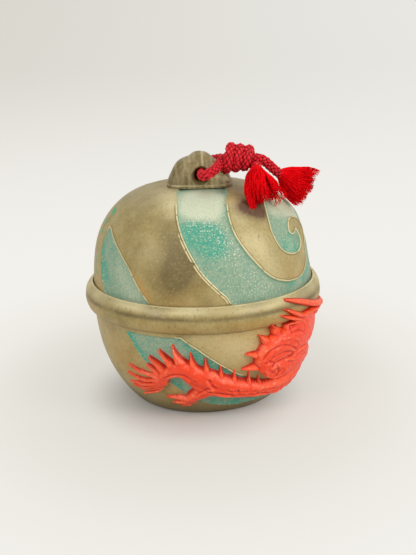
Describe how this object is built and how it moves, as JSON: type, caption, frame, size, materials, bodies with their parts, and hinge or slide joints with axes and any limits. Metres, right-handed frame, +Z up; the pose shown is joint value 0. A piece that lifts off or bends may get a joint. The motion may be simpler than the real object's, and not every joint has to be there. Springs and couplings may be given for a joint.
{
  "type": "clay rattle bell with hanging cord",
  "caption": "Round fired clay rattle bell with a raised band, a sound slot below, a relief dragon on its side and a knotted red cord through a pierced lug.",
  "frame": {"origin": "centre of the flat base, on the surface that the bell stands on", "axes": "+Z up through the lug; -Y towards the side with the wave pattern and the dragon's tail; +X towards the knot and tassels"},
  "size_m": [0.0756, 0.075, 0.0823],
  "materials": {
    "bronze_clay": "satin bronze paint over fired clay, with sunk blue-green fields",
    "raw_clay": "unpainted fired clay",
    "vermilion_clay": "glossy vermilion paint over fired clay",
    "red_braid": "round braided cord",
    "red_fringe": "combed-out silky strands"
  },
  "bodies": {
    "bell": {"upper_shell": "bronze_clay", "lower_shell": "bronze_clay", "equator_band": "bronze_clay", "hanging_lug": "bronze_clay", "dragon_body": "vermilion_clay", "dragon_tail_tuft": "vermilion_clay", "dragon_neck": "vermilion_clay", "dragon_foreleg": "vermilion_clay", "dragon_head": "vermilion_clay", "dragon_front_horn": "vermilion_clay", "dragon_rear_horn": "vermilion_clay", "dragon_upper_whisker": "vermilion_clay", "dragon_lower_whisker": "vermilion_clay"},
    "hanging_cord": {"cord": "red_braid", "near_tassel": "red_fringe", "far_tassel": "red_fringe"},
    "ball": {"rattle_ball": "raw_clay"}
  },
  "joints": [
    {"name": "cord_swing", "type": "hinge", "parent": "bell", "child": "hanging_cord", "pos_m": [0.0005, 0, 0.0725], "axis": [0, -1, 0], "range_deg": [0, 100]},
    {"name": "ball_roll", "type": "hinge", "parent": "bell", "child": "ball", "pos_m": [0, 0, 0.034], "axis": [0, 1, 0], "continuous": true}
  ]
}
